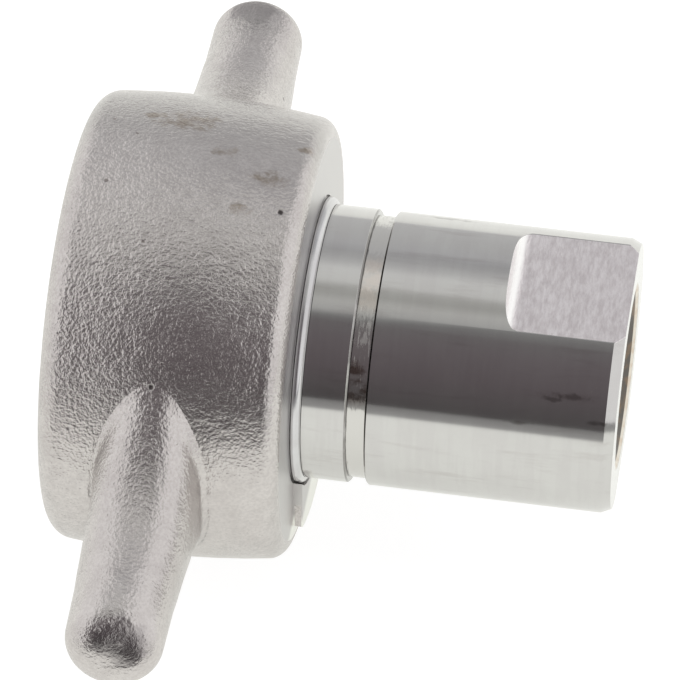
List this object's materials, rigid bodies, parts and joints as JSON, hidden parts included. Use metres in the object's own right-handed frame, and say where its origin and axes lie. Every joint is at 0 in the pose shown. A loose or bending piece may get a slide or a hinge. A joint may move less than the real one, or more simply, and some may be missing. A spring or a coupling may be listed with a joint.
{
  "type": "hydraulic screw coupling",
  "caption": "Screw-to-connect hydraulic coupling half: cast wing nut turning on a steel body with wrench flats and a threaded hose port, and a spring-loaded poppet valve inside.",
  "frame": {"origin": "centre of the hose port's face, on the coupling axis", "axes": "+X out of the hose port along the coupling axis, the wing nut's mouth facing -X; the handles lie along Y; +Z is the outward normal of the upper wrench flat"},
  "size_m": [0.0827, 0.131, 0.0688],
  "materials": {
    "plated_steel": "turned, bright",
    "cast_steel": "cast skin, blasted, satin",
    "ring_steel": "drawn wire, bright",
    "valve_steel": "turned",
    "spring_steel": "phosphated",
    "bush_bronze": "turned",
    "seal_rubber": "moulded, matte",
    "backup_plastic": "turned"
  },
  "bodies": {
    "core": {"rear_body": "plated_steel", "front_body": "plated_steel", "body_o_ring": "seal_rubber", "body_backup_ring": "backup_plastic", "nose_o_ring": "seal_rubber", "nose_backup_ring": "backup_plastic", "nut_retaining_ring": "ring_steel", "valve_guide": "valve_steel", "guide_bush": "bush_bronze", "guide_snap_ring": "spring_steel", "spring_seat_ring": "valve_steel", "valve_spring": "spring_steel"},
    "nut_carrier": {"thrust_washer": "ring_steel"},
    "nut": {"wing_nut": "cast_steel", "nut_wiper_ring": "seal_rubber"},
    "valve": {"poppet": "valve_steel", "poppet_seal": "seal_rubber", "poppet_cap": "valve_steel"}
  },
  "joints": [
    {"name": "nut_slide", "type": "slide", "parent": "core", "child": "nut_carrier", "axis": [-1, 0, 0], "range_m": [0, 0.003]},
    {"name": "nut_spin", "type": "hinge", "parent": "nut_carrier", "child": "nut", "pos_m": [0, 0, 0], "axis": [1, 0, 0], "continuous": true},
    {"name": "valve_slide", "type": "slide", "parent": "core", "child": "valve", "axis": [1, 0, 0], "range_m": [0, 0.006], "stiffness_N_per_m": 1500, "springref_m": -0.012, "deforming": ["valve_spring"]}
  ]
}
